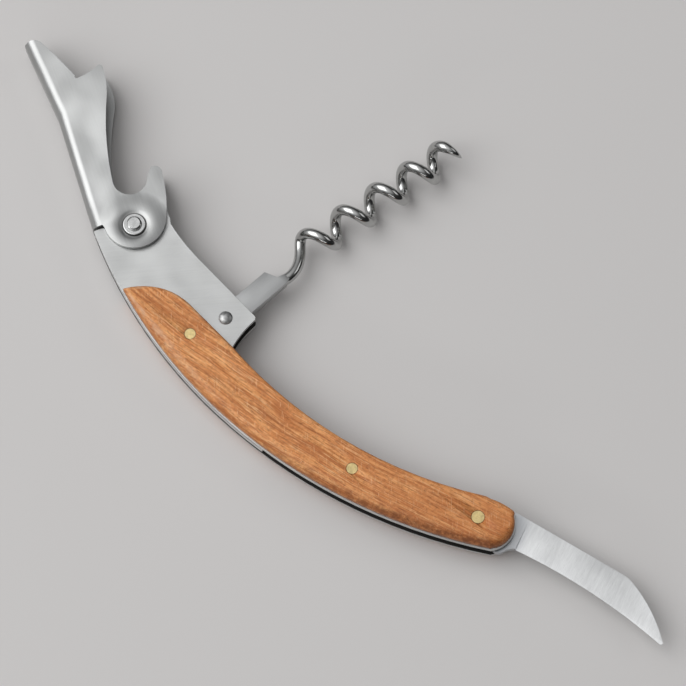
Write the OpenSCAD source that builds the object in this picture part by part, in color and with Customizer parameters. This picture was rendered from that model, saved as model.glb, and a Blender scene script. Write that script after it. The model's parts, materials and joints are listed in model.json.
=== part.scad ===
// Waiter's corkscrew with every tool opened out.
// It lies flat on its side: the plates are parallel to the XY plane, and +Z runs through their thickness.
// +X runs from the lever's pivot along the handle to the blade's pivot.
// Sizes are in millimetres. Outlines are drawn from the lever's pivot and moved to the middle of the open tool.

/* [Handle] */
// Thickness of each steel liner
liner_t = 1; // [0.8:0.1:1.2]
// Gap between the liners, which holds the springs, the worm's tang and the blade
gap_t = 3.2; // [3:0.1:3.4]
// Thickness of each wooden scale
scale_t = 2.6; // [2.4:0.1:3]
// How far the scales and the springs lie in from the liners' edges
inset = 0.3; // [0.1:0.1:0.5]
// Radius of the two small brass handle pins
handle_pin_r = 1.25; // [1:0.05:1.3]
// Radius of the brass blade pin
blade_pin_r = 1.45; // [1.2:0.05:1.6]
// Radial clearance between a pin and the part that turns on it
running_fit = 0.05; // [0.02:0.01:0.1]

/* [Lever] */
// Outer width of the folded channel
channel_w = 7.8; // [7.8:0.1:8.2]
// Thickness of the folded sheet
sheet_t = 1; // [0.8:0.1:1]
// Outer radius of the channel's two folds
fold_r = 2.4; // [1.8:0.1:2.6]
// Radius of the lever rivet's shank
rivet_r = 1.6; // [1.3:0.05:1.6]
// Radius of the rivet's two heads
rivet_head_r = 1.7; // [1.65:0.05:2]
// Height of each rivet head above its washer
rivet_head_h = 0.8; // [0.5:0.05:0.9]
// Outer radius of the washers under the rivet's heads
rivet_washer_r = 2.65; // [2.3:0.05:2.8]
// Thickness of the washers under the rivet's heads
rivet_washer_t = 0.5; // [0.3:0.05:0.55]
// Depth of the dished seat pressed into each ear round the rivet
dish_depth = 0.4; // [0.3:0.05:0.45]

/* [Worm] */
// Diameter of the wire
wire_d = 2.6; // [2:0.1:2.7]
// Radius of the helix at the middle of the wire
helix_r = 3.1; // [2.8:0.1:3.2]
// Pitch at the first turn
pitch_start = 10.3; // [9.5:0.1:10.5]
// Pitch that the turns close up to at the point
pitch_end = 8.4; // [8:0.1:9]
// Number of turns
turns = 4.44; // [4:0.02:4.6]
// Width of the flat tang
tang_w = 5.4; // [5:0.1:5.6]
// Thickness of the flat tang
tang_t = 2.8; // [2.7:0.1:3]
// Length of the tang from its pivot to its outer corner
tang_l = 14.3; // [13:0.1:15]
// Radius of the steel pin that the worm turns on
worm_pin_r = 1.2; // [1:0.05:1.3]
// Radius of the worm pin's domed heads
worm_head_r = 1.65; // [1.4:0.05:1.8]
// Height of the worm pin's domed heads
worm_head_h = 0.7; // [0.4:0.05:0.8]

/* [Blade] */
// Thickness of the blade at its spine
blade_t = 1.8; // [1.4:0.1:2]
// Thickness left at the cutting edge
edge_t = 0.12; // [0.08:0.01:0.3]
// Height of the ground face above the edge
grind_h = 6.9; // [5.5:0.1:7]
// Height of the fine bevel along the edge
bevel_h = 0.7; // [0.4:0.1:1]
// Outer radius of the washers beside the blade and beside the worm's tang
pivot_washer_r = 2.9; // [2.4:0.1:3]

/* [Hidden] */

// Middle of the open tool's box, measured from the lever's pivot
box_middle = [51.96, 21.922];

// Heights of the layers above the face that the tool rests on
total_t = 2 * scale_t + 2 * liner_t + gap_t;
mid_z = total_t / 2;
liner_z = scale_t;
gap_z = liner_z + liner_t;
play = 0.1;

// Pivots and pins
lever_pivot = [0, 0];
worm_pivot = [30.9, -2.4];
upper_pin = [28.1, -11.2];
lower_pin = [76.9, -10.2];
blade_pivot = [105.4, 0.3];

// The handle's long edges: the belly is two arcs that meet at its lowest point, the hollow is one arc
belly = [48, -20.2];
belly_upper_r = 120;
belly_lower_r = 128.5;
hollow = [52, -7.9];
hollow_r = 107;

// Corners of the handle
head_corner = [-6.1, -7.3];
head_rear = [-4.8, -5];
head_front = [5.9, 6];
lug_start = [16.9, 4];
lug_corner = [36.2, 2.4];
lug_round = 0.9;
notch_x = 36.9;
tail_rear_x = 112.3;
tail_corner = [111.4, 6.4];
tail_front = [110.6, 7.15];
tail_top_x = 103.5;
arch_rear_x = 9.1;
arch_top = [23, -5.9];

// The spacer and the springs between the liners
spacer_end_x = 58;
spacer_inset = 0.1;
spacer_shoulder_x = 24;
spring_left_x = 27;
spring_t = 2.4;
spring_thin_t = 1.2;
spring_lobe_r = 2.1;
heel_gap = 0.15;
worm_heel_r = 3.3;
blade_heel_r = 3.3;
blade_shoulder_x = 106.7;

// The lever's back: its distance from the pivot, its direction, and the bend in it
back_r = 9.5;
back_angle = 149.6;
back_start = 2.1;
bend_start = 31.7;
bend_angle = 7;
channel_depth = 26;
ear = [-1, 1.15];
ear_r = 7.3;

// The dished seat's flat floor and its rim, and how far the pressing stands out inside the ear
seat_r = 2.8;
seat_rim_r = 3.9;
seat_bulge = 0.22;

// The blade's cutting edge is an arc from its heel to its point
edge_heel = [115.8, 1.25];
edge_tip = [154, 6.5];
edge_bow = 1.35;
spine_knee = [139.5, 13.15];

// Direction of the worm's tang, and the lean and foot of the helix measured from it
tang_angle = 84;
helix_lean = 6.7;
helix_foot = [-0.75, 26.5];
wire_exit = [1.6, 17.5];
point_turns = 0.25;
wire_sides = 12;
turn_steps = 20;

// Direction at an angle
function unit(angle) = [cos(angle), sin(angle)];

// Points of an arc from a to b, without b, that bulges by h to the right of the way from a to b
function bow(a, b, h, n = 8) =
    let (c = norm(b - a), u = (b - a) / c, r = (c * c / 4 + h * h) / (2 * h))
    let (o = (a + b) / 2 + [-u.y, u.x] * (r - h), sweep = 4 * atan(2 * h / c))
    let (start = atan2(a.y - o.y, a.x - o.x))
    [for (i = [0 : n - 1]) o + abs(r) * unit(start + sweep * i / n)];

// Height of the belly and of the hollow at x, measured from the lever's pivot
function belly_y(x) =
    let (r = x < belly.x ? belly_upper_r : belly_lower_r)
    belly.y + r - sqrt(r * r - pow(x - belly.x, 2));
function hollow_y(x) = hollow.y + hollow_r - sqrt(hollow_r * hollow_r - pow(x - hollow.x, 2));

// Points along the belly and the hollow, shifted by rise
function belly_line(x0, x1, rise, n = 14) =
    [for (i = [0 : n]) let (x = x0 + (x1 - x0) * i / n) [x, belly_y(x) + rise]];
function hollow_line(x0, x1, rise, n = 14) =
    [for (i = [0 : n]) let (x = x0 + (x1 - x0) * i / n) [x, hollow_y(x) + rise]];

// The handle's rounded lower end, drawn in from the edge by trim
function tail_line(trim) =
    concat(
        bow([tail_rear_x - trim, belly_y(tail_rear_x) + trim], tail_corner - [trim, trim], 2.1),
        bow(tail_corner - [trim, trim], tail_front - [trim, trim], 0.2, 4),
        bow(tail_front - [trim, trim], [tail_top_x, hollow_y(tail_top_x) - trim], 0.4, 6)
    );

// Moves a piece from the lever's pivot to the middle of the open tool, at a height
module place(z = 0) {
    translate([-box_middle.x, -box_middle.y, z]) children();
}

module plate(points, t) {
    linear_extrude(t) polygon(points);
}

// A pin, or the hole for one, from z0 up to z1
module bar(at, r, z0, z1) {
    translate([at.x, at.y, z0]) cylinder(r = r, h = z1 - z0, $fn = 64);
}

// A flat ring round a pin
module washer(at, outer_r, inner_r, z0, t) {
    place() difference() {
        bar(at, outer_r, z0, z0 + t);
        bar(at, inner_r, z0 - 1, z0 + t + 1);
    }
}

// Holes for the fixed pins through every plate of the handle
module pin_holes() {
    bar(upper_pin, handle_pin_r, -1, total_t);
    bar(lower_pin, handle_pin_r, -1, total_t);
    bar(blade_pivot, blade_pin_r, -1, total_t);
}

function liner_points() =
    concat(
        belly_line(head_corner.x, tail_rear_x, 0, 28),
        tail_line(0),
        hollow_line(tail_top_x, notch_x + 4, 0),
        bow([notch_x, hollow_y(notch_x)], lug_corner - [0, lug_round], -0.35, 6),
        bow(lug_corner - [0, lug_round], lug_corner - [lug_round, -0.1], 0.3, 4),
        bow(lug_start, head_front, -0.3, 4),
        bow(head_front, head_rear, 7.7, 16),
        bow(head_rear, head_corner, 0.2, 4)
    );

module liner() {
    color([0.72, 0.73, 0.74]) place() difference() {
        plate(liner_points(), liner_t);
        pin_holes();
        bar(lever_pivot, rivet_r, -1, liner_t + 1);
        bar(worm_pivot, worm_pin_r, -1, liner_t + 1);
    }
}

module front_liner() {
    translate([0, 0, gap_z + gap_t]) liner();
}

module rear_liner() {
    translate([0, 0, liner_z]) liner();
}

function scale_points() =
    concat(
        belly_line(arch_rear_x, tail_rear_x - inset, inset, 26),
        tail_line(inset),
        hollow_line(tail_top_x, notch_x, 0),
        bow(arch_top, [arch_rear_x, belly_y(arch_rear_x) + inset], 2.2, 10)
    );

module wooden_scale() {
    color([0.78, 0.5, 0.3]) place() difference() {
        plate(scale_points(), scale_t);
        pin_holes();
    }
}

module front_scale() {
    translate([0, 0, total_t - scale_t]) wooden_scale();
}

module rear_scale() {
    wooden_scale();
}

// Fills the head and the belly side of the gap, down to where the blade's slot starts
module back_spacer() {
    spring_low_y = worm_pivot.y - worm_heel_r - heel_gap - spring_t;
    points = concat(
        belly_line(head_corner.x + inset, spacer_end_x, spacer_inset),
        hollow_line(spacer_end_x, notch_x + 1, -2 * inset - spring_t, 6),
        [
            [lug_corner.x, spring_low_y - inset],
            [spacer_shoulder_x, spring_low_y - inset],
            [spacer_shoulder_x, lug_start.y - 3 * inset]
        ],
        [lug_start - [0, inset]],
        bow(head_front - [inset, inset], head_rear + [inset, 0], 7.4, 16),
        [head_rear + [inset, 0]]
    );
    color([0.6, 0.6, 0.62]) place(gap_z) difference() {
        plate(points, gap_t);
        bar(upper_pin, handle_pin_r, -1, gap_t + 1);
        bar(lever_pivot, rivet_r, -1, gap_t + 1);
    }
}

// Double-ended leaf spring on the hollow side: its left arm bears on the worm's tang, its right arm on the blade's
module back_spring() {
    top_y = worm_pivot.y - worm_heel_r - heel_gap;
    nose_y = blade_pivot.y + blade_heel_r + heel_gap;
    thin_x = lower_pin.x + 8;
    nose_x = blade_pivot.x - 3.4;
    end_x = blade_shoulder_x - 0.3;
    points = concat(
        [[spring_left_x, top_y - spring_t], [lug_corner.x, top_y - spring_t]],
        hollow_line(notch_x + 1, lower_pin.x - 4, -inset - spring_t, 8),
        hollow_line(thin_x, nose_x - 1.5, -inset - spring_thin_t, 6),
        [[nose_x, nose_y], [end_x, nose_y], [end_x, hollow_y(tail_top_x) + inset]],
        hollow_line(tail_top_x, notch_x + 1, -inset),
        [[lug_corner.x - 0.8, top_y], [spring_left_x, top_y]]
    );
    color([0.66, 0.66, 0.68]) place(gap_z + play / 2) difference() {
        union() {
            plate(points, gap_t - play);
            bar(lower_pin, spring_lobe_r, 0, gap_t - play);
            translate([lower_pin.x - spring_lobe_r, lower_pin.y, 0])
                cube([2 * spring_lobe_r, hollow_y(lower_pin.x) - inset - lower_pin.y - 1, gap_t - play]);
        }
        bar(lower_pin, handle_pin_r, -1, gap_t + 1);
    }
}

module handle_pin(at, r) {
    color([0.84, 0.74, 0.46]) place() bar(at, r, 0, total_t);
}

module upper_handle_pin() {
    handle_pin(upper_pin, handle_pin_r);
}

module lower_handle_pin() {
    handle_pin(lower_pin, handle_pin_r);
}

module blade_pin() {
    handle_pin(blade_pivot, blade_pin_r);
}

// Cap of a sphere that stands on a flat face
module dome(at, r, h) {
    ball_r = (r * r + h * h) / (2 * h);
    translate([at.x, at.y, 0]) intersection() {
        translate([0, 0, h - ball_r]) sphere(r = ball_r, $fn = 64);
        cylinder(r = 2 * r, h = 2 * h, $fn = 64);
    }
}

module worm_pin() {
    face_z = gap_z + gap_t + liner_t;
    color([0.75, 0.76, 0.77]) place() {
        bar(worm_pivot, worm_pin_r, liner_z, face_z);
        translate([0, 0, face_z]) dome(worm_pivot, worm_head_r, worm_head_h);
        translate([0, 0, liner_z]) mirror([0, 0, 1]) dome(worm_pivot, worm_head_r, worm_head_h);
    }
}

// Height of the rivet washers' outer faces above the middle of the tool
washer_out = channel_w / 2 - dish_depth + play / 2 + rivet_washer_t;

module rivet_head() {
    chamfer = 0.25;
    translate([0, 0, washer_out]) {
        cylinder(r = rivet_head_r, h = rivet_head_h - chamfer, $fn = 64);
        translate([0, 0, rivet_head_h - chamfer])
            cylinder(r1 = rivet_head_r, r2 = rivet_head_r - 0.35, h = chamfer, $fn = 64);
    }
}

module lever_rivet() {
    color([0.75, 0.76, 0.77]) place(mid_z) translate([lever_pivot.x, lever_pivot.y, 0]) {
        translate([0, 0, -washer_out]) cylinder(r = rivet_r, h = 2 * washer_out, $fn = 64);
        rivet_head();
        mirror([0, 0, 1]) rivet_head();
    }
}

module rivet_washer(z0) {
    color([0.7, 0.71, 0.72]) washer(lever_pivot, rivet_washer_r, rivet_r, z0, rivet_washer_t);
}

module front_rivet_washer() {
    rivet_washer(mid_z + washer_out - rivet_washer_t);
}

module rear_rivet_washer() {
    rivet_washer(mid_z - washer_out);
}

// Thin washers fill the gap on both sides of a thinner part that turns between the liners
module gap_washer(at, pin_r, part_t, front) {
    t = (gap_t - part_t - play) / 2;
    color([0.8, 0.66, 0.42]) washer(at, pivot_washer_r, pin_r, front ? gap_z + gap_t - t : gap_z, t);
}

module front_worm_washer() {
    gap_washer(worm_pivot, worm_pin_r, tang_t, true);
}

module rear_worm_washer() {
    gap_washer(worm_pivot, worm_pin_r, tang_t, false);
}

module front_blade_washer() {
    gap_washer(blade_pivot, blade_pin_r, blade_t, true);
}

module rear_blade_washer() {
    gap_washer(blade_pivot, blade_pin_r, blade_t, false);
}

// Section of a slot with two rounded corners at its closed end, which lies on x = 0
module slot_section(half_w, r) {
    translate([0, r - half_w]) square([r, 2 * (half_w - r)]);
    translate([r, -half_w]) square([channel_depth, 2 * half_w]);
    for (side = [-1, 1]) translate([r, side * (half_w - r)]) circle(r = r, $fn = 64);
}

// Two straight runs that cross at the bend, out from the lever's back line by half_w, r and a distance off it
module runs(off, half_w, r) {
    across = back_angle - 90;
    bend_at = -back_r * unit(across) + bend_start * unit(back_angle);
    translate([bend_at.x, bend_at.y, 0]) {
        rotate([0, 0, across]) translate([off, 22, 0]) rotate([90, 0, 0])
            linear_extrude(bend_start + 34) slot_section(half_w, r);
        rotate([0, 0, across + bend_angle]) translate([off, 26, 0]) rotate([90, 0, 0])
            linear_extrude(46) slot_section(half_w, r);
    }
}

// The folded sheet before its walls are cut to shape
module folded_channel() {
    difference() {
        runs(0, channel_w / 2, fold_r);
        runs(sheet_t, channel_w / 2 - sheet_t, fold_r - sheet_t);
    }
}

// Outline of one wall of the lever; free_edge runs from the cap lifter's throat to the short prong
function wall_points(free_edge) =
    let (across = unit(back_angle - 90), cut = -back_r * across + back_start * unit(back_angle))
    concat(
        [cut - across, cut + 2.4 * across],
        [for (a = [240 : 10 : 380]) ear + ear_r * unit(a)],
        bow([5.2, 5.1], [-3.7, 13.5], 0.5),
        bow([-3.7, 13.5], [-6.9, 13.1], 0.9, 6),
        bow([-6.9, 13.1], [-4.9, 9.4], 0.2, 3),
        bow([-4.9, 9.4], [-10.7, 4.1], -2.9, 12),
        free_edge,
        bow([-32.5, 23.7], [-33.7, 23.4], 0.35, 4),
        bow([-33.7, 23.4], [-35, 17.9], -0.3, 5),
        bow([-35, 17.9], [-35.9, 17.8], -0.4, 4),
        bow([-35.9, 17.8], [-47.4, 18.6], 0.15, 4),
        bow([-47.4, 18.6], [-50.3, 15.7], 0.9, 8),
        [[-52, 13.8], [-37, 6.5], [-29, 2]]
    );

front_free_edge = concat(
    bow([-10.7, 4.1], [-26.5, 18.7], -0.75),
    bow([-26.5, 18.7], [-32.5, 23.7], 0.4, 5)
);

rear_free_edge = concat(
    bow([-10.7, 4.1], [-17.6, 10.1], -0.2, 4),
    bow([-17.6, 10.1], [-24.8, 18.9], -0.25, 4),
    bow([-24.8, 18.9], [-32.5, 23.7], 0.9, 6)
);

// Shallow cone round the rivet that opens from the seat's floor to its rim, and is carried on a little past that
module dish(depth, wider = 0) {
    slope = (seat_rim_r - seat_r) / depth;
    translate([lever_pivot.x, lever_pivot.y, 0])
        cylinder(r1 = seat_r + wider, r2 = seat_rim_r + wider + slope * play, h = depth + play, $fn = 96);
}

module lever() {
    inner = channel_w / 2 - sheet_t;
    color([0.76, 0.77, 0.78]) place(mid_z) difference() {
        union() {
            intersection() {
                folded_channel();
                union() {
                    plate(wall_points(front_free_edge), channel_w);
                    translate([0, 0, -channel_w]) plate(wall_points(rear_free_edge), channel_w);
                }
            }
            for (side = [0, 1]) mirror([0, 0, side])
                translate([0, 0, inner - seat_bulge]) dish(seat_bulge, 0.3);
        }
        for (side = [0, 1]) mirror([0, 0, side])
            translate([0, 0, channel_w / 2 - dish_depth]) dish(dish_depth);
        bar(lever_pivot, rivet_r + running_fit, -channel_w, channel_w);
    }
}

// Middle line of the worm's wire: a curve out of the tang, then the helix. z is measured from the wire's mid-plane.
helix_along = [sin(helix_lean), cos(helix_lean), 0];
helix_left = [-cos(helix_lean), sin(helix_lean), 0];
function helix_rise(k) = pitch_start * k + (pitch_end - pitch_start) * k * k / (2 * turns);
function helix_point(k) =
    [helix_foot.x, helix_foot.y, 0] + helix_rise(k) * helix_along
    + helix_r * (cos(360 * k) * helix_left + sin(360 * k) * [0, 0, 1]);
function helix_way(k) =
    let (pitch = pitch_start + (pitch_end - pitch_start) * k / turns)
    pitch * helix_along + 2 * PI * helix_r * (cos(360 * k) * [0, 0, 1] - sin(360 * k) * helix_left);

neck = [
    [wire_exit.x, wire_exit.y, 0],
    [wire_exit.x + 0.5, wire_exit.y + 5.5, 0],
    helix_point(0) - 3.2 * helix_way(0) / norm(helix_way(0)),
    helix_point(0)
];
function neck_point(t) =
    pow(1 - t, 3) * neck[0] + 3 * t * pow(1 - t, 2) * neck[1] + 3 * t * t * (1 - t) * neck[2] + pow(t, 3) * neck[3];
function neck_way(t) =
    pow(1 - t, 2) * (neck[1] - neck[0]) + 2 * t * (1 - t) * (neck[2] - neck[1]) + t * t * (neck[3] - neck[2]);

// A ring of the wire's surface at a point, across the way that it runs
function wire_ring(p, way, ref, r) =
    let (side = cross(ref, way) / norm(cross(ref, way)), up = cross(way / norm(way), side))
    [for (i = [0 : wire_sides - 1]) let (a = 360 * i / wire_sides) p + r * (cos(a) * side + sin(a) * up)];

function wire_rings() =
    let (neck_steps = 10, helix_steps = ceil(turns * turn_steps), root = [wire_exit.x - 0.3, wire_exit.y - 4, 0])
    concat(
        [wire_ring(root, neck[0] - root, [0, 0, 1], wire_d / 2)],
        [for (i = [0 : neck_steps - 1])
            let (t = i / neck_steps, ref = (1 - t) * [0, 0, 1] - t * helix_along)
            wire_ring(neck_point(t), neck_way(t), ref, wire_d / 2)],
        [for (i = [0 : helix_steps])
            let (k = turns * i / helix_steps, left = (turns - k) / point_turns)
            wire_ring(helix_point(k), helix_way(k), -helix_along, wire_d / 2 * max(0.12, min(1, pow(left, 0.7))))]
    );

module wire() {
    rings = wire_rings();
    n = wire_sides;
    last = len(rings) - 1;
    points = [for (ring = rings) for (p = ring) p];
    sides = [for (k = [0 : last - 1]) for (i = [0 : n - 1])
        let (a = k * n + i, b = k * n + (i + 1) % n)
        for (face = [[a, a + n, b + n], [a, b + n, b]]) face];
    ends = [[for (i = [0 : n - 1]) i], [for (i = [n - 1 : -1 : 0]) last * n + i]];
    polyhedron(points, concat(sides, ends), convexity = 10);
}

module worm() {
    half = tang_w / 2;
    points = [
        [-half, 0], [half, 0], [half, wire_exit.y - 1.5], [half - 0.4, wire_exit.y],
        [wire_exit.x - 0.9, wire_exit.y], [wire_exit.x - 1.4, tang_l + 1.4], [-half, tang_l]
    ];
    color([0.7, 0.7, 0.72]) place(mid_z) translate(worm_pivot) rotate([0, 0, tang_angle - 90]) {
        difference() {
            union() {
                translate([0, 0, -tang_t / 2]) {
                    plate(points, tang_t);
                    cylinder(r = worm_heel_r, h = tang_t, $fn = 64);
                }
                wire();
            }
            translate([0, 0, -tang_t]) cylinder(r = worm_pin_r + running_fit, h = 2 * tang_t, $fn = 64);
        }
    }
}

// Half section of the ground blade across its edge arc: a fine bevel, the ground face and the full spine
function grind_section(edge_r) =
    let (bevel_z = edge_t / 2 + 0.16, spine_z = blade_t / 2, out = edge_r + 20)
    let (upper = [[edge_r, edge_t / 2], [edge_r + bevel_h, bevel_z], [edge_r + grind_h, spine_z], [out, spine_z]])
    concat(upper, [for (i = [3 : -1 : 0]) [upper[i].x, -upper[i].y]]);

function blade_points() =
    let (heel_y = blade_pivot.y - blade_heel_r)
    concat(
        [[blade_pivot.x + 1, heel_y + 0.3], [112, -2.2]],
        bow([112, -2.2], [114.3, -0.9], 0.6, 5),
        bow([114.3, -0.9], edge_heel, -0.25, 4),
        bow(edge_heel, edge_tip, -edge_bow, 16),
        bow(edge_tip, edge_tip + [0.5, 0.6], 0.15, 3),
        bow(edge_tip + [0.5, 0.6], spine_knee, 0.95, 10),
        bow(spine_knee, spine_knee - [1.6, 0.2], 0.12, 3),
        [[tail_front.x, 7.8], [blade_shoulder_x, 6.4], [blade_shoulder_x, blade_pivot.y + blade_heel_r - 0.2]]
    );

module blade() {
    chord = edge_tip - edge_heel;
    edge_r = (pow(norm(chord) / 2, 2) + edge_bow * edge_bow) / (2 * edge_bow);
    across = [chord.y, -chord.x] / norm(chord);
    centre = (edge_heel + edge_tip) / 2 + across * (edge_r - edge_bow);
    plunge = atan2(edge_heel.y - centre.y, edge_heel.x - centre.x);
    ground_sweep = 20;
    color([0.82, 0.83, 0.84]) place(mid_z) difference() {
        union() {
            intersection() {
                translate([0, 0, -blade_t / 2]) plate(blade_points(), blade_t);
                union() {
                    translate(centre) rotate([0, 0, plunge - ground_sweep])
                        rotate_extrude(angle = ground_sweep, $fn = 720) polygon(grind_section(edge_r));
                    translate(centre) rotate([0, 0, plunge])
                        translate([edge_r - 20, -play, -blade_t]) cube([40, 20, 2 * blade_t]);
                }
            }
            bar(blade_pivot, blade_heel_r, -blade_t / 2, blade_t / 2);
        }
        bar(blade_pivot, blade_pin_r + running_fit, -blade_t, blade_t);
    }
}

front_liner();
rear_liner();
front_scale();
rear_scale();
back_spacer();
back_spring();
upper_handle_pin();
lower_handle_pin();
blade_pin();
worm_pin();
lever_rivet();
front_rivet_washer();
rear_rivet_washer();
front_worm_washer();
rear_worm_washer();
front_blade_washer();
rear_blade_washer();
lever();
worm();
blade();
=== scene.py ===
"""Waiter's corkscrew, opened out: looks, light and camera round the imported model."""

import json
import math

import bmesh
import bpy
from mathutils import Matrix, Vector
from mathutils.geometry import tessellate_polygon


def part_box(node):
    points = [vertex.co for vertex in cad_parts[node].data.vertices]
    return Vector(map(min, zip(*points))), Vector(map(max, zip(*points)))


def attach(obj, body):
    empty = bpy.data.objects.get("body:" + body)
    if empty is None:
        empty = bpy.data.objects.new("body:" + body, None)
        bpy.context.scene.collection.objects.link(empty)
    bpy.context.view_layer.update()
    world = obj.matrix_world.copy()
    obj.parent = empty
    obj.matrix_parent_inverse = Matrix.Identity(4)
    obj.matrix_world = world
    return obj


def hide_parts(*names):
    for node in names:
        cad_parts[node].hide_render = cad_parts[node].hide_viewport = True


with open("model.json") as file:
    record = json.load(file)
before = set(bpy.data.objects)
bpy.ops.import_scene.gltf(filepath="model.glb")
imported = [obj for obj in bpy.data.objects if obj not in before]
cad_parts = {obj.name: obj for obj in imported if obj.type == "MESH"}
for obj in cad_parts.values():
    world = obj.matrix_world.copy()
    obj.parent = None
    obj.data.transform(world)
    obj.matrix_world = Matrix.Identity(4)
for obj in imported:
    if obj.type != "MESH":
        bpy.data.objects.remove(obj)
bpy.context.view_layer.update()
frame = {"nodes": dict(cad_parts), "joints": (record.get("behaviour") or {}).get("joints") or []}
nodes = frame["nodes"]
pivots = {joint["name"]: Vector(joint["pos_m"]) for joint in frame["joints"]}

MM = 0.001
mid_z = pivots["lever_pivot"].z
gap_half = (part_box("back_spacer")[1].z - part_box("back_spacer")[0].z) / 2

# The handle's hollow edge is an arc
hollow_centre = pivots["lever_pivot"] + Vector((52, 99.1, 0)) * MM
HOLLOW_R = 107 * MM
HANDLE_W = 12.3 * MM


# Materials ---------------------------------------------------------------


class Graph:
    """A short way to write a material's nodes."""

    def __init__(self, name):
        self.material = bpy.data.materials.new(name)
        self.material.use_nodes = True
        self.tree = self.material.node_tree
        self.tree.nodes.clear()
        self.shader = self.add("ShaderNodeBsdfPrincipled")
        output = self.add("ShaderNodeOutputMaterial")
        self.tree.links.new(self.shader.outputs[0], output.inputs["Surface"])
        self.place = self.add("ShaderNodeTexCoord").outputs["Object"]
        self.relief = None

    def add(self, kind, inputs=None, **settings):
        made = self.tree.nodes.new(kind)
        for key, value in settings.items():
            setattr(made, key, value)
        for key, value in (inputs or {}).items():
            self.put(made.inputs[key], value)
        return made

    def put(self, socket, value):
        if isinstance(value, bpy.types.NodeSocket):
            self.tree.links.new(value, socket)
        else:
            socket.default_value = value

    def set(self, **sockets):
        """Sets the shader's sockets: base_color=..., roughness=..."""
        for key, value in sockets.items():
            self.put(self.shader.inputs[key.replace("_", " ").title().replace("Ior", "IOR")], value)

    def grain(self, angle, along, across, shift=(0, 0, 0)):
        """Coordinates in which one unit is a feature's length along and across the grain."""
        sockets = {
            "Vector": self.place,
            "Location": shift,
            "Rotation": (0, 0, math.radians(angle)),
            "Scale": (along, across, across),
        }
        return self.add("ShaderNodeMapping", sockets, vector_type="TEXTURE").outputs[0]

    def noise(self, vector, scale=1.0, detail=3.0, roughness=0.5):
        sockets = {"Vector": vector, "Scale": scale, "Detail": detail, "Roughness": roughness}
        return self.add("ShaderNodeTexNoise", sockets).outputs[0]

    def ramp(self, factor, *stops):
        """Colours at places from 0 to 1."""
        made = self.add("ShaderNodeValToRGB", {"Fac": factor})
        elements = made.color_ramp.elements
        while len(elements) < len(stops):
            elements.new(0.5)
        for element, (at, colour) in zip(elements, stops):
            element.position = at
            element.color = (*colour, 1)
        return made.outputs[0]

    def span(self, value, low, high, to_low, to_high, **settings):
        """to_low up to low, to_high from high on, and between them in proportion or as settings say."""
        sockets = {"Value": value, "From Min": low, "From Max": high, "To Min": to_low, "To Max": to_high}
        return self.add("ShaderNodeMapRange", sockets, **settings).outputs[0]

    def mix(self, factor, a, b, blend="MIX"):
        made = self.add("ShaderNodeMix", data_type="RGBA", blend_type=blend)
        for index, value in ((0, factor), (6, a), (7, b)):
            self.put(made.inputs[index], (*value, 1) if isinstance(value, tuple) else value)
        return made.outputs[2]

    def math(self, operation, a, b=0.0):
        return self.add("ShaderNodeMath", {0: a, 1: b}, operation=operation).outputs[0]

    def vector(self, operation, a, b, output="Vector"):
        return self.add("ShaderNodeVectorMath", {0: a, 1: b}, operation=operation).outputs[output]

    def bump(self, height, distance, strength=1.0):
        """Relief on top of any made before it."""
        sockets = {"Height": height, "Distance": distance, "Strength": strength}
        if self.relief:
            sockets["Normal"] = self.relief
        self.relief = self.add("ShaderNodeBump", sockets).outputs[0]
        self.put(self.shader.inputs["Normal"], self.relief)

    def near(self, centre, full, none):
        """1 within the distance full of an upright line through centre, down to 0 at the distance none."""
        flat = self.vector("MULTIPLY", self.place, (1, 1, 0))
        away = self.vector("DISTANCE", flat, (centre.x, centre.y, 0), "Value")
        return self.span(away, full, none, 1, 0, interpolation_type="SMOOTHSTEP")


# Colours of painted shade: in the gap between the liners, round the rivet's collar, and bluish on the blade
# by the handle
SHADOW = (0.05, 0.047, 0.045)
CREVICE_SHADE = (0.04, 0.038, 0.035)
BLUISH_PAINTED_SHADE = (0.40, 0.42, 0.45)


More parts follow.
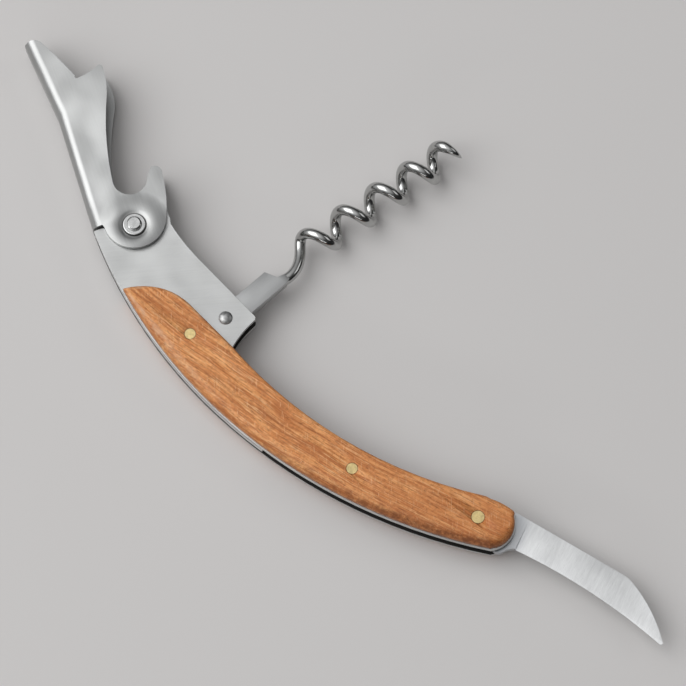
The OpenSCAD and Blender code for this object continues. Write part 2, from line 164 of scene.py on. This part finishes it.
def steel(
    name,
    colour,
    roughness,
    brush_angle,
    depth=0.4,
    tone=0.04,
    lines_mm=0.12,
    gap="",
    waves_mm=0,
    crevice=None,
    shade_patch=None,
):
    """Brushed steel: lines along brush_angle, stray scratches and a faint uneven tone.

    At the gap between the liners it can be duller with painted shade inside, or have painted shade along the
    seams beside them. It can have low waves, which a negative height turns over. A crevice round a pin, given
    as (centre, full, none), gets painted shade and is made rougher, and the sheet falls away gently from it.
    A patch of painted shade, given likewise, is darker and bluish.
    """
    g = Graph(name)
    fine = g.noise(g.grain(brush_angle, 9 * MM, lines_mm * MM), detail=4, roughness=0.7)
    broad = g.noise(g.grain(brush_angle, 16 * MM, 4 * lines_mm * MM, (2 * MM, 7 * MM, 0)), detail=2)
    lines = g.math("ADD", g.math("MULTIPLY", fine, 0.62), g.math("MULTIPLY", broad, 0.38))
    scratches = g.noise(g.grain(brush_angle + 24, 6 * MM, 0.09 * MM, (5 * MM, 0, 0)), detail=1)
    scratch = g.span(scratches, 0.70, 0.78, 0, 1)
    cloud = g.noise(g.place, scale=70, detail=2)
    dark = tuple(c * (1 - 1.4 * tone) for c in colour)
    light = tuple(min(1, c * (1 + 0.6 * tone)) for c in colour)
    even = g.mix(g.span(cloud, 0.35, 0.65, 0, 1), dark, light)
    brushed = g.span(lines, 0.3, 0.7, 1 - 2 * tone, 1)
    shade = g.math("SUBTRACT", brushed, g.math("MULTIPLY", scratch, 2 * tone))
    grey = g.add("ShaderNodeCombineColor", {0: shade, 1: shade, 2: shade}).outputs[0]
    toned = g.mix(1.0, even, grey, "MULTIPLY")
    gloss = g.span(lines, 0.3, 0.7, roughness - 0.05, roughness + 0.06)
    # Painted shade inside the gap between the liners, or along the seams where the spacer and the spring meet
    # them
    if gap:
        z = g.add("ShaderNodeSeparateXYZ", {0: g.place}).outputs[2]
        from_middle = g.math("ABSOLUTE", g.math("SUBTRACT", z, mid_z))
        if gap == "dull_shaded":
            inside = g.span(from_middle, gap_half + 0.02 * MM, gap_half + 0.03 * MM, 1, 0)
        else:
            inside = g.span(from_middle, gap_half - 0.80 * MM, gap_half - 0.50 * MM, 0, 1)
        toned = g.mix(inside, toned, SHADOW)
        gloss = g.math("MAXIMUM", gloss, g.math("MULTIPLY", inside, 0.6))
    # Painted shade, darker and bluish, on the blade next to the handle
    if shade_patch:
        toned = g.mix(g.math("MULTIPLY", g.near(*shade_patch), 0.55), toned, BLUISH_PAINTED_SHADE)
    # Painted shade in a thin ring round the rivet's collar, which is also made rougher
    if crevice:
        crevice_shade = g.near(*crevice)
        toned = g.mix(g.math("MULTIPLY", crevice_shade, 0.85), toned, CREVICE_SHADE)
        gloss = g.math("MAXIMUM", gloss, g.math("MULTIPLY", crevice_shade, 0.5))
    g.set(base_color=toned, metallic=1.0, roughness=gloss)
    if waves_mm:
        g.bump(g.math("MULTIPLY", g.noise(g.place, scale=60, detail=1.2), waves_mm), MM)
    if crevice:
        g.bump(g.near(crevice[0], 3.6 * MM, 8.5 * MM), 0.5 * MM)
    g.bump(g.math("SUBTRACT", lines, g.math("MULTIPLY", scratch, 0.5)), 0.005 * MM, depth)
    return g.material


def polished(name, colour, roughness, marks_scale=900, dim=0.88):
    """Polished metal with small handling marks, which dim its colour."""
    g = Graph(name)
    marks = g.noise(g.place, scale=marks_scale, detail=4)
    g.set(
        base_color=g.mix(g.span(marks, 0.35, 0.7, 0, 1), tuple(c * dim for c in colour), colour),
        metallic=1.0,
        roughness=g.span(marks, 0.3, 0.75, roughness, roughness + 0.1),
    )
    g.bump(marks, 0.004 * MM, 0.3)
    return g.material


# The wood's grain climbs by this slope at the middle, and by more towards the blade
GRAIN_SLOPE = 0.137
GRAIN_SLOPE_PER_METRE = 1.24

# The wood's colours. The last four carry painted light: pale scratches with a painted highlight near the
# lever, and painted shade on the rim near the blade, along the rim and round the pins
WOOD = {
    "dark_band": (0.52, 0.182, 0.054),
    "band": (0.75, 0.290, 0.092),
    "light_band": (0.90, 0.41, 0.145),
    "light_streak": (1.0, 0.50, 0.19),
    "dark_streak": (0.44, 0.135, 0.036),
    "dark_line": (0.27, 0.080, 0.022),
    "light_line": (1.0, 0.60, 0.29),
    "blotch": (0.54, 0.175, 0.048),
    "fleck": (0.97, 0.60, 0.32),
    "speckle": (0.36, 0.120, 0.038),
    "pore": (0.14, 0.045, 0.015),
    "scuff_and_highlight": (0.74, 0.44, 0.26),
    "painted_belly_shade": (0.20, 0.062, 0.018),
    "rim": (0.30, 0.10, 0.032),
    "pin_ring_shade": (0.10, 0.04, 0.016),
}


def wood(name):
    """Orange-brown wood. The grain crosses the handle at a small angle that grows towards the blade."""
    g = Graph(name)
    split = g.add("ShaderNodeSeparateXYZ", {0: g.place})
    x, y, z = split.outputs
    slope_here = g.math("ADD", g.math("MULTIPLY", x, GRAIN_SLOPE_PER_METRE), GRAIN_SLOPE)
    straight_y = g.math("SUBTRACT", y, g.math("MULTIPLY", x, slope_here))
    waves = g.noise(g.place, scale=45, detail=1)
    straight_y = g.math("ADD", straight_y, g.math("MULTIPLY", g.math("SUBTRACT", waves, 0.5), 2.2 * MM))
    along = g.add("ShaderNodeCombineXYZ", {0: x, 1: straight_y, 2: z}).outputs[0]

    def grain(length, width, shift, **settings):
        scaled = g.vector("MULTIPLY", along, (1 / length, 1 / width, 1 / width))
        return g.noise(g.vector("ADD", scaled, (shift, 2 * shift, 0)), **settings)

    bands = grain(60 * MM, 3.4 * MM, 1.7, detail=3, roughness=0.6)
    streaks = grain(11 * MM, 0.7 * MM, 4.1, detail=5, roughness=0.68)
    dark_lines = grain(5 * MM, 0.26 * MM, 7.7, detail=3, roughness=0.6)
    light_lines = grain(6 * MM, 0.24 * MM, 12.9, detail=2, roughness=0.5)
    pores = grain(1.5 * MM, 0.2 * MM, 18.3, detail=1.5)
    flecks = g.noise(g.grain(-48, 2.6 * MM, 0.28 * MM, (3 * MM, 9 * MM, 0)), detail=2)
    blotch = g.noise(g.place, scale=110, detail=3, roughness=0.6)
    speckle = g.noise(g.place, scale=1500, detail=2)

    bands_in_colour = ((0.30, WOOD["dark_band"]), (0.5, WOOD["band"]), (0.72, WOOD["light_band"]))
    base = g.ramp(bands, *bands_in_colour)
    base = g.mix(g.span(streaks, 0.47, 0.62, 0, 0.75), base, WOOD["light_streak"])
    base = g.mix(g.span(streaks, 0.50, 0.36, 0, 0.65), base, WOOD["dark_streak"])
    base = g.mix(g.span(dark_lines, 0.45, 0.34, 0, 0.75), base, WOOD["dark_line"])
    base = g.mix(g.span(light_lines, 0.57, 0.67, 0, 0.75), base, WOOD["light_line"])
    base = g.mix(g.span(blotch, 0.48, 0.66, 0, 0.45), base, WOOD["blotch"])
    base = g.mix(g.span(flecks, 0.62, 0.72, 0, 0.6), base, WOOD["fleck"])
    base = g.mix(g.span(speckle, 0.44, 0.68, 0, 0.38), base, WOOD["speckle"])
    base = g.mix(g.span(x, 0, 50 * MM, 0, 0.32), base, WOOD["dark_streak"])
    pore = g.span(pores, 0.64, 0.72, 0, 1)
    base = g.mix(g.math("MULTIPLY", pore, 0.7), base, WOOD["pore"])

    # Along the rounded rim: pale scratches with a painted highlight where it starts near the lever, and
    # mottled painted shade along the belly towards the blade
    rim = g.add("ShaderNodeAttribute", attribute_name="rim").outputs["Fac"]
    near_lever = g.span(x, -8 * MM, -34 * MM, 0, 1)
    start = g.math("MULTIPLY", g.span(rim, 0.02, 0.16, 0, 1), g.span(rim, 0.75, 0.35, 0, 1))
    scuffs = g.noise(g.place, scale=420, detail=5, roughness=0.7)
    pale = g.math("MULTIPLY", g.math("MULTIPLY", near_lever, start), g.span(scuffs, 0.40, 0.62, 0, 0.8))
    base = g.mix(pale, base, WOOD["scuff_and_highlight"])
    # Painted shade, mottled, on the belly's rounded rim towards the blade
    near_blade = g.span(x, 5 * MM, 40 * MM, 0.25, 1)
    on_belly = g.math("SUBTRACT", 1.08, g.near(hollow_centre, HOLLOW_R + 5 * MM, HOLLOW_R + 11.5 * MM))
    near_blade = g.math("MULTIPLY", near_blade, on_belly)
    mottle = g.noise(g.place, scale=650, detail=4, roughness=0.7)
    on_rim = g.math("MULTIPLY", near_blade, g.span(rim, 0.04, 0.5, 0, 1))
    painted_belly_shade = g.math("MULTIPLY", on_rim, g.span(mottle, 0.40, 0.60, 0.25, 0.95))
    base = g.mix(painted_belly_shade, base, WOOD["painted_belly_shade"])
    # Painted shade on the rounded rim, growing towards its outer edge
    base = g.mix(g.span(rim, 0.35, 1, 0, 0.4), base, WOOD["rim"])
    # Painted shade in a thin ring round each pin where it meets the wood
    for pin in ("upper_handle_pin", "lower_handle_pin", "blade_pin"):
        low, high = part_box(pin)
        radius = (high.x - low.x) / 2
        ring = g.near((low + high) / 2, radius + 0.04 * MM, radius + 0.22 * MM)
        base = g.mix(g.math("MULTIPLY", ring, 0.8), base, WOOD["pin_ring_shade"])

    g.set(base_color=base, roughness=g.span(streaks, 0.25, 0.75, 0.50, 0.36), specular_ior_level=0.32)
    height = g.math("ADD", g.math("MULTIPLY", dark_lines, 0.35), g.math("MULTIPLY", mottle, 0.15))
    g.bump(g.math("SUBTRACT", height, pore), 0.035 * MM, 0.7)
    return g.material


# Round places as (centre, radius that is full, radius where nothing is left)
# The lever's ear gets painted shade in a thin ring round the rivet's collar
rivet_crevice = (pivots["lever_pivot"], 2.75 * MM, 3.0 * MM)
# The blade gets bluish painted shade next to the handle
blade_base = (pivots["blade_pivot"], 9.5 * MM, 13 * MM)
looks = {
    "liner": steel("liner_steel", (0.61, 0.617, 0.61), 0.38, 48, tone=0.06, gap="dull_shaded", waves_mm=0.7),
    "edge": steel("edge_steel", (0.74, 0.747, 0.74), 0.40, 5, depth=0.35, gap="seams"),
    "lever": steel(
        "lever_steel", (0.455, 0.461, 0.456), 0.37, -28, depth=0.6, tone=0.07, waves_mm=-1.2,
        crevice=rivet_crevice,
    ),
    "tang": steel("tang_steel", (0.56, 0.567, 0.565), 0.36, 84, waves_mm=0.5),
    "blade": steel(
        "blade_steel", (0.80, 0.81, 0.81), 0.34, 104, depth=2.4, tone=0.11, lines_mm=0.18, waves_mm=0.3,
        shade_patch=blade_base,
    ),
    "rivet": polished("rivet_steel", (0.64, 0.645, 0.64), 0.15),
    "dome": polished("dome_steel", (0.64, 0.645, 0.64), 0.42, marks_scale=1500, dim=0.5),
    "wire": polished("wire_steel", (0.51, 0.513, 0.505), 0.08),
    "pin": polished("pin_brass", (0.86, 0.68, 0.33), 0.36, marks_scale=1300, dim=0.72),
    "washer": polished("washer_brass", (0.66, 0.50, 0.26), 0.30),
    "wood": wood("scale_wood"),
}


# Shapes ------------------------------------------------------------------


# Corners that turn by more than this get broken edges
BREAK_ANGLE = math.radians(35)
# Corners of the joined worm that turn by more than this are shaded as sharp
SHARP_ANGLE = math.radians(40)


def break_edges(piece, width):
    edge = piece.modifiers.new("broken_edges", "BEVEL")
    edge.width = width
    edge.segments = 2
    edge.limit_method = "ANGLE"
    edge.angle_limit = BREAK_ANGLE
    return edge


def finish_cad(name, look, bevel, weld=0.01 * MM):
    """A CAD node keeps its shape, and gets fine broken edges and its material."""
    piece = nodes[name]
    piece.data.materials.clear()
    piece.data.materials.append(looks[look])
    for shading in ("custom_normal", "sharp_edge"):
        if shading in piece.data.attributes:
            piece.data.attributes.remove(piece.data.attributes[shading])
    for face in piece.data.polygons:
        face.use_smooth = True
    piece.modifiers.new("weld", "WELD").merge_threshold = weld
    break_edges(piece, bevel).harden_normals = True


def linked(name, data):
    """An object with this mesh, light or camera, in the scene."""
    made = bpy.data.objects.new(name, data)
    bpy.context.scene.collection.objects.link(made)
    return made


def drawn(name, maker, *materials):
    """An object with the mesh that maker draws, and these looks."""
    mesh = bpy.data.meshes.new(name)
    shape = bmesh.new()
    maker(shape)
    bmesh.ops.recalc_face_normals(shape, faces=shape.faces)
    shape.to_mesh(mesh)
    shape.free()
    for material in materials:
        mesh.materials.append(looks[material])
    return linked(name, mesh)


def stand_in(piece, body, node):
    """The smooth piece rides on a body in place of a CAD node."""
    for face in piece.data.polygons:
        face.use_smooth = True
    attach(piece, body)
    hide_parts(node)


def outlines(name, top):
    """The loops round a flat CAD plate's upper or lower face, the outer one first, each as 2-D points."""
    shape = bmesh.new()
    shape.from_mesh(nodes[name].data)
    bmesh.ops.remove_doubles(shape, verts=shape.verts, dist=0.002 * MM)
    level = max(v.co.z for v in shape.verts) if top else min(v.co.z for v in shape.verts)
    flat = [f for f in shape.faces if all(abs(v.co.z - level) < 0.01 * MM for v in f.verts)]
    rim = {}
    for face in flat:
        for loop in face.loops:
            if sum(1 for f in loop.edge.link_faces if f in flat) == 1:
                rim[loop.vert.index] = loop.link_loop_next.vert.index
    shape.verts.ensure_lookup_table()
    loops = []
    while rim:
        start, here = rim.popitem()
        loop = [start]
        while here != start:
            loop.append(here)
            here = rim.pop(here)
        loops.append([Vector(shape.verts[i].co[:2]) for i in loop])
    shape.free()
    loops.sort(key=lambda points: -abs(area(points)))
    return [points if area(points) > 0 else points[::-1] for points in loops]


def area(points):
    return sum(a.cross(b) for a, b in zip(points, points[1:] + points[:1])) / 2


# A sharp corner's point moves in by at most its amount divided by this
LEAST_SPREAD = 0.55


def drawn_in(points, amounts):
    """The outline with each point moved in along its corner's bisector."""
    moved = []
    for i, point in enumerate(points):
        before = (point - points[i - 1]).normalized()
        after = (points[(i + 1) % len(points)] - point).normalized()
        inward = Vector((-before.y - after.y, before.x + after.x)).normalized()
        spread = max(LEAST_SPREAD, inward.dot(Vector((-before.y, before.x))))
        moved.append(point + inward * amounts[i] / spread)
    return moved


def rounded_plate(shape, name, top, rounding_at, steps=8):
    """A plate with the CAD plate's outline and an elliptical outer rim, rounding_at(point) wide and deep."""
    loops = outlines(name, top)
    low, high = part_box(name)
    inner_z, outer_z, up = (low.z, high.z, 1) if top else (high.z, low.z, -1)
    sizes = [rounding_at(point) for point in loops[0]]
    rows = [[(p, inner_z) for p in loops[0]]]
    for step in range(steps + 1):
        turn = math.pi / 2 * step / steps
        ring = drawn_in(loops[0], [wide * (1 - math.cos(turn)) for wide, drop in sizes])
        rows.append([(p, outer_z - up * drop * (1 - math.sin(turn))) for p, (wide, drop) in zip(ring, sizes)])
    rim = shape.verts.layers.float.new("rim")
    rows = [[shape.verts.new((p.x, p.y, z)) for p, z in row] for row in rows]
    for step, row in enumerate(rows[1:]):
        for vert in row:
            vert[rim] = 1 - step / steps
    for vert in rows[0]:
        vert[rim] = 1
    count = len(loops[0])
    for lower, upper in zip(rows, rows[1:]):
        for i in range(count):
            j = (i + 1) % count
            shape.faces.new((lower[i], lower[j], upper[j], upper[i]))
    holes = []
    for hole in loops[1:]:
        ends = [[shape.verts.new((p.x, p.y, z)) for p in hole] for z in (inner_z, outer_z)]
        for i in range(len(hole)):
            j = (i + 1) % len(hole)
            shape.faces.new((ends[0][i], ends[0][j], ends[1][j], ends[1][i]))
        holes.append(ends)
    for ring, end in ((rows[0], 0), (rows[-1], 1)):
        rings = [ring] + [hole[end] for hole in holes]
        corners = [vert for ring in rings for vert in ring]
        flat_rings = [[Vector((v.co.x, v.co.y, 0)) for v in ring] for ring in rings]
        for triangle in tessellate_polygon(flat_rings):
            shape.faces.new([corners[i] for i in triangle])


# Numbers that repeat part.scad's worm, in metres about its pivot, with +Y along the tang
WORM = {
    "wire_r": 1.3 * MM,
    "helix_r": 3.1 * MM,
    "pitch": (10.3 * MM, 8.4 * MM),
    "turns": 4.44,
    "lean": math.radians(6.7),
    "foot": Vector((-0.75, 26.5, 0)) * MM,
    "root": Vector((1.3, 13.5, 0)) * MM,
    "exit": Vector((1.6, 17.5, 0)) * MM,
    "neck_pull": (Vector((0.5, 5.5, 0)) * MM, 3.2 * MM),
    "point_turns": 0.25,
    "point_power": 0.7,
    "tip_share": 0.06,
    "tang_w": 5.4 * MM,
    "tang_l": 14.3 * MM,
    "tang_t": 2.8 * MM,
    "heel_r": 3.3 * MM,
    "pin_r": 1.25 * MM,
    "angle": math.radians(84 - 90),
}
WIRE_SIDES = 28
STEPS_PER_TURN = 56
NECK_STEPS = 24
HEEL_STEPS = 26
HOLE_SIDES = 32


def wire_path():
    """The wire's middle line as (point, radius), from inside the tang to the worm's tip."""
    w = WORM
    along = Vector((math.sin(w["lean"]), math.cos(w["lean"]), 0))
    left = Vector((-math.cos(w["lean"]), math.sin(w["lean"]), 0))
    up = Vector((0, 0, 1))
    p0, p1 = w["pitch"]

    def helix(k):
        rise = p0 * k + (p1 - p0) * k * k / (2 * w["turns"])
        turn = 2 * math.pi * k
        return w["foot"] + along * rise + (left * math.cos(turn) + up * math.sin(turn)) * w["helix_r"]

    way = (helix(0.001) - helix(0)).normalized()
    out_pull, in_pull = w["neck_pull"]
    neck = (w["exit"], w["exit"] + out_pull, helix(0) - way * in_pull, helix(0))
    path = [(w["root"], w["wire_r"])]
    for i in range(NECK_STEPS):
        t = i / NECK_STEPS
        s = 1 - t
        point = neck[0] * s**3 + neck[1] * 3 * t * s * s + neck[2] * 3 * t * t * s + neck[3] * t**3
        path.append((point, w["wire_r"]))
    steps = math.ceil(w["turns"] * STEPS_PER_TURN)
    for i in range(steps + 1):
        k = w["turns"] * i / steps
        left_over = (w["turns"] - k) / w["point_turns"]
        share = max(w["tip_share"], min(1, left_over ** w["point_power"]))
        path.append((helix(k), w["wire_r"] * share))
    return path


def sweep(shape, path, sides, material):
    """A closed tube along the path, with its rings kept from twisting."""
    rings = []
    ref = Vector((0, 0, 1))
    for i, (point, radius) in enumerate(path):
        way = (path[min(i + 1, len(path) - 1)][0] - path[max(i - 1, 0)][0]).normalized()
        side = ref.cross(way).normalized()
        ref = way.cross(side)
        ring = []
        for k in range(sides):
            turn = 2 * math.pi * k / sides
            ring.append(shape.verts.new(point + (side * math.cos(turn) + ref * math.sin(turn)) * radius))
        rings.append(ring)
    for a, b in zip(rings, rings[1:]):
        for k in range(sides):
            j = (k + 1) % sides
            shape.faces.new((a[k], a[j], b[j], b[k])).material_index = material
    shape.faces.new(rings[0]).material_index = material
    shape.faces.new(rings[-1]).material_index = material


def tang(shape):
    """The worm's flat tang with its round heel and pin hole. The wire leaves it at its right side."""
    w = WORM
    half = w["tang_w"] / 2
    exit_x, exit_y = w["exit"].x, w["exit"].y
    heel_y = 2 * MM
    outline = [Vector((half, heel_y)), Vector((half, exit_y - 1.5 * MM)), Vector((half - 0.4 * MM, exit_y))]
    outline += [Vector((exit_x - 0.9 * MM, exit_y)), Vector((exit_x - 1.4 * MM, w["tang_l"] + 1.4 * MM))]
    outline += [Vector((-half, w["tang_l"])), Vector((-half, heel_y))]
    start = math.atan2(1.9 * MM, -half)
    for i in range(HEEL_STEPS + 1):
        turn = start + (2 * math.pi - 2 * (start - math.pi / 2)) * i / HEEL_STEPS
        outline.append(Vector((math.cos(turn), math.sin(turn))) * w["heel_r"])
    turns = [2 * math.pi * i / HOLE_SIDES for i in range(HOLE_SIDES)]
    hole = [Vector((math.cos(turn), math.sin(turn))) * w["pin_r"] for turn in turns]
    faces = {}
    for z in (-w["tang_t"] / 2, w["tang_t"] / 2):
        rings = [[shape.verts.new((p.x, p.y, z)) for p in ring] for ring in (outline, hole)]
        corners = rings[0] + rings[1]
        for triangle in tessellate_polygon([[v.co.xy.to_3d() for v in ring] for ring in rings]):
            shape.faces.new([corners[i] for i in triangle])
        faces[z] = rings
    low, high = faces.values()
    for a, b in zip(low, high):
        for i in range(len(a)):
            j = (i + 1) % len(a)
            shape.faces.new((a[i], a[j], b[j], b[i]))


def build_worm():
    """The worm as one closed mesh: the tang and the wire joined by a union."""
    tang_part = drawn("worm_tang", tang, "tang", "wire")
    wire_part = drawn("worm_wire", lambda shape: sweep(shape, wire_path(), WIRE_SIDES, 1), "tang", "wire")
    break_edges(tang_part, 0.16 * MM)
    join = tang_part.modifiers.new("join", "BOOLEAN")
    join.operation = "UNION"
    join.object = wire_part
    join.solver = "EXACT"
    view = bpy.context.evaluated_depsgraph_get()
    joined = bpy.data.meshes.new_from_object(tang_part.evaluated_get(view))
    for part in (tang_part, wire_part):
        bpy.data.objects.remove(part)
    place = Matrix.Translation(pivots["worm_pivot"]) @ Matrix.Rotation(WORM["angle"], 4, "Z")
    joined.transform(place)
    stand_in(linked("worm_detailed", joined), "worm", "worm")
    joined.set_sharp_from_angle(angle=SHARP_ANGLE)


def smooth(value, low, high):
    """0 below low, 1 above high, and an S-curve between."""
    t = min(1, max(0, (value - low) / (high - low)))
    return t * t * (3 - 2 * t)


# The wood's rim: its width along the hollow and the belly, the share of that left at the arch, and its
# depth as a share of its width, up to the most it may be
HOLLOW_RIM = 0.9 * MM
BELLY_RIM = 2.8 * MM
ARCH_SHARE = 0.22
DROP_SHARE = 0.9
MOST_DROP = 2.1 * MM


def scale_rounding(point):
    """Width and drop of the wood's rounded rim, wide along the belly, narrow at the hollow and the arch."""
    side = ((point - hollow_centre.xy).length - HOLLOW_R) / HANDLE_W
    from_arch = smooth(point.x - pivots["lever_pivot"].x, 6 * MM, 26 * MM)
    wide = HOLLOW_RIM + (BELLY_RIM - HOLLOW_RIM) * smooth(side, 0.25, 0.9)
    wide *= ARCH_SHARE + (1 - ARCH_SHARE) * from_arch
    return wide, min(MOST_DROP, DROP_SHARE * wide)


for name in ("front_liner", "rear_liner"):
    finish_cad(name, "liner", 0.20 * MM)
for name in ("back_spacer", "back_spring"):
    finish_cad(name, "edge", 0.28 * MM)
for name in ("upper_handle_pin", "lower_handle_pin", "blade_pin"):
    finish_cad(name, "pin", 0.12 * MM)
for name in ("front_worm_washer", "rear_worm_washer", "front_blade_washer", "rear_blade_washer"):
    finish_cad(name, "washer", 0.05 * MM)
for name in ("front_rivet_washer", "rear_rivet_washer"):
    finish_cad(name, "rivet", 0.22 * MM)
finish_cad("lever_rivet", "rivet", 0.12 * MM)
finish_cad("worm_pin", "dome", 0.05 * MM)
finish_cad("lever", "lever", 0.16 * MM, 0.06 * MM)
finish_cad("blade", "blade", 0.04 * MM)

for name, top in (("front_scale", True), ("rear_scale", False)):
    scale = drawn(name + "_rounded", lambda shape: rounded_plate(shape, name, top, scale_rounding), "wood")
    stand_in(scale, "handle", name)
    scale.modifiers.new("normals", "WEIGHTED_NORMAL").keep_sharp = False

build_worm()


# Floor, light and camera -------------------------------------------------

FLOOR_HALF = 3
floor_mesh = bpy.data.meshes.new("floor")
corners = [(-FLOOR_HALF, -FLOOR_HALF, 0), (FLOOR_HALF, -FLOOR_HALF, 0)]
corners += [(FLOOR_HALF, FLOOR_HALF, 0), (-FLOOR_HALF, FLOOR_HALF, 0)]
floor_mesh.from_pydata(corners, [], [(0, 1, 2, 3)])
floor = linked("floor", floor_mesh)
paint = Graph("pale_floor")
paint.set(base_color=(0.66, 0.645, 0.635, 1), roughness=0.8)
floor_mesh.materials.append(paint.material)


def toward(turn, lift):
    """The direction turn degrees round from +X and lift degrees up."""
    a, b = math.radians(turn), math.radians(lift)
    return Vector((math.cos(b) * math.cos(a), math.cos(b) * math.sin(a), math.sin(b)))


world = bpy.data.worlds.new("studio")
bpy.context.scene.world = world
world.use_nodes = True
sky = world.node_tree
facing = sky.nodes.new("ShaderNodeVectorMath")
facing.operation = "DOT_PRODUCT"
facing.inputs[1].default_value = toward(215, 58)
sky.links.new(sky.nodes.new("ShaderNodeTexCoord").outputs["Generated"], facing.inputs[0])
shade = sky.nodes.new("ShaderNodeValToRGB")
sky.links.new(facing.outputs["Value"], shade.inputs["Fac"])
sky.links.new(shade.outputs[0], sky.nodes["Background"].inputs["Color"])
# (how nearly it faces the brightest direction, brightness)
SKY = ((0.0, 0.03), (0.42, 0.09), (0.72, 0.52), (0.92, 0.98), (1.0, 1.02))
while len(shade.color_ramp.elements) < len(SKY):
    shade.color_ramp.elements.new(0.5)
for element, (at, value) in zip(shade.color_ramp.elements, SKY):
    element.position = at
    element.color = (value, value, value * 1.01, 1)


def softbox(name, turn, lift, distance, size, power):
    """An area light aimed at the tool's middle, turn degrees round from +X and lift degrees up."""
    light = bpy.data.lights.new(name, "AREA")
    light.shape = "RECTANGLE"
    light.size, light.size_y = size
    light.energy = power
    lamp = linked(name, light)
    way = toward(turn, lift)
    lamp.location = way * distance
    lamp.rotation_euler = way.to_track_quat("Z", "Y").to_euler()


softbox("key", 216, 50, 0.95, (1.0, 0.8), 4.4)
softbox("fill", 60, 40, 1.1, (0.7, 0.4), 0.8)
softbox("front", -58, 17, 1.0, (0.6, 0.06), 0.6)

CAMERA_TURN = 42
CAMERA_TILT = 18
CAMERA_DISTANCE = 0.7
CAMERA_AIM = Vector((2.45, -10.157, 5.2)) * MM
LENS_PER_WIDTH = 4.439

camera_data = bpy.data.cameras.new("camera")
camera_data.lens = camera_data.sensor_width * LENS_PER_WIDTH
camera_data.clip_start = 0.01
camera = linked("camera", camera_data)
turn = Matrix.Rotation(math.radians(CAMERA_TURN), 4, "Z")
tilt = Matrix.Rotation(math.radians(CAMERA_TILT), 4, "X")
back = Matrix.Translation((0, 0, CAMERA_DISTANCE))
camera.matrix_world = Matrix.Translation(CAMERA_AIM) @ turn @ tilt @ back
bpy.context.scene.camera = camera
bpy.context.scene.view_settings.view_transform = "Standard"
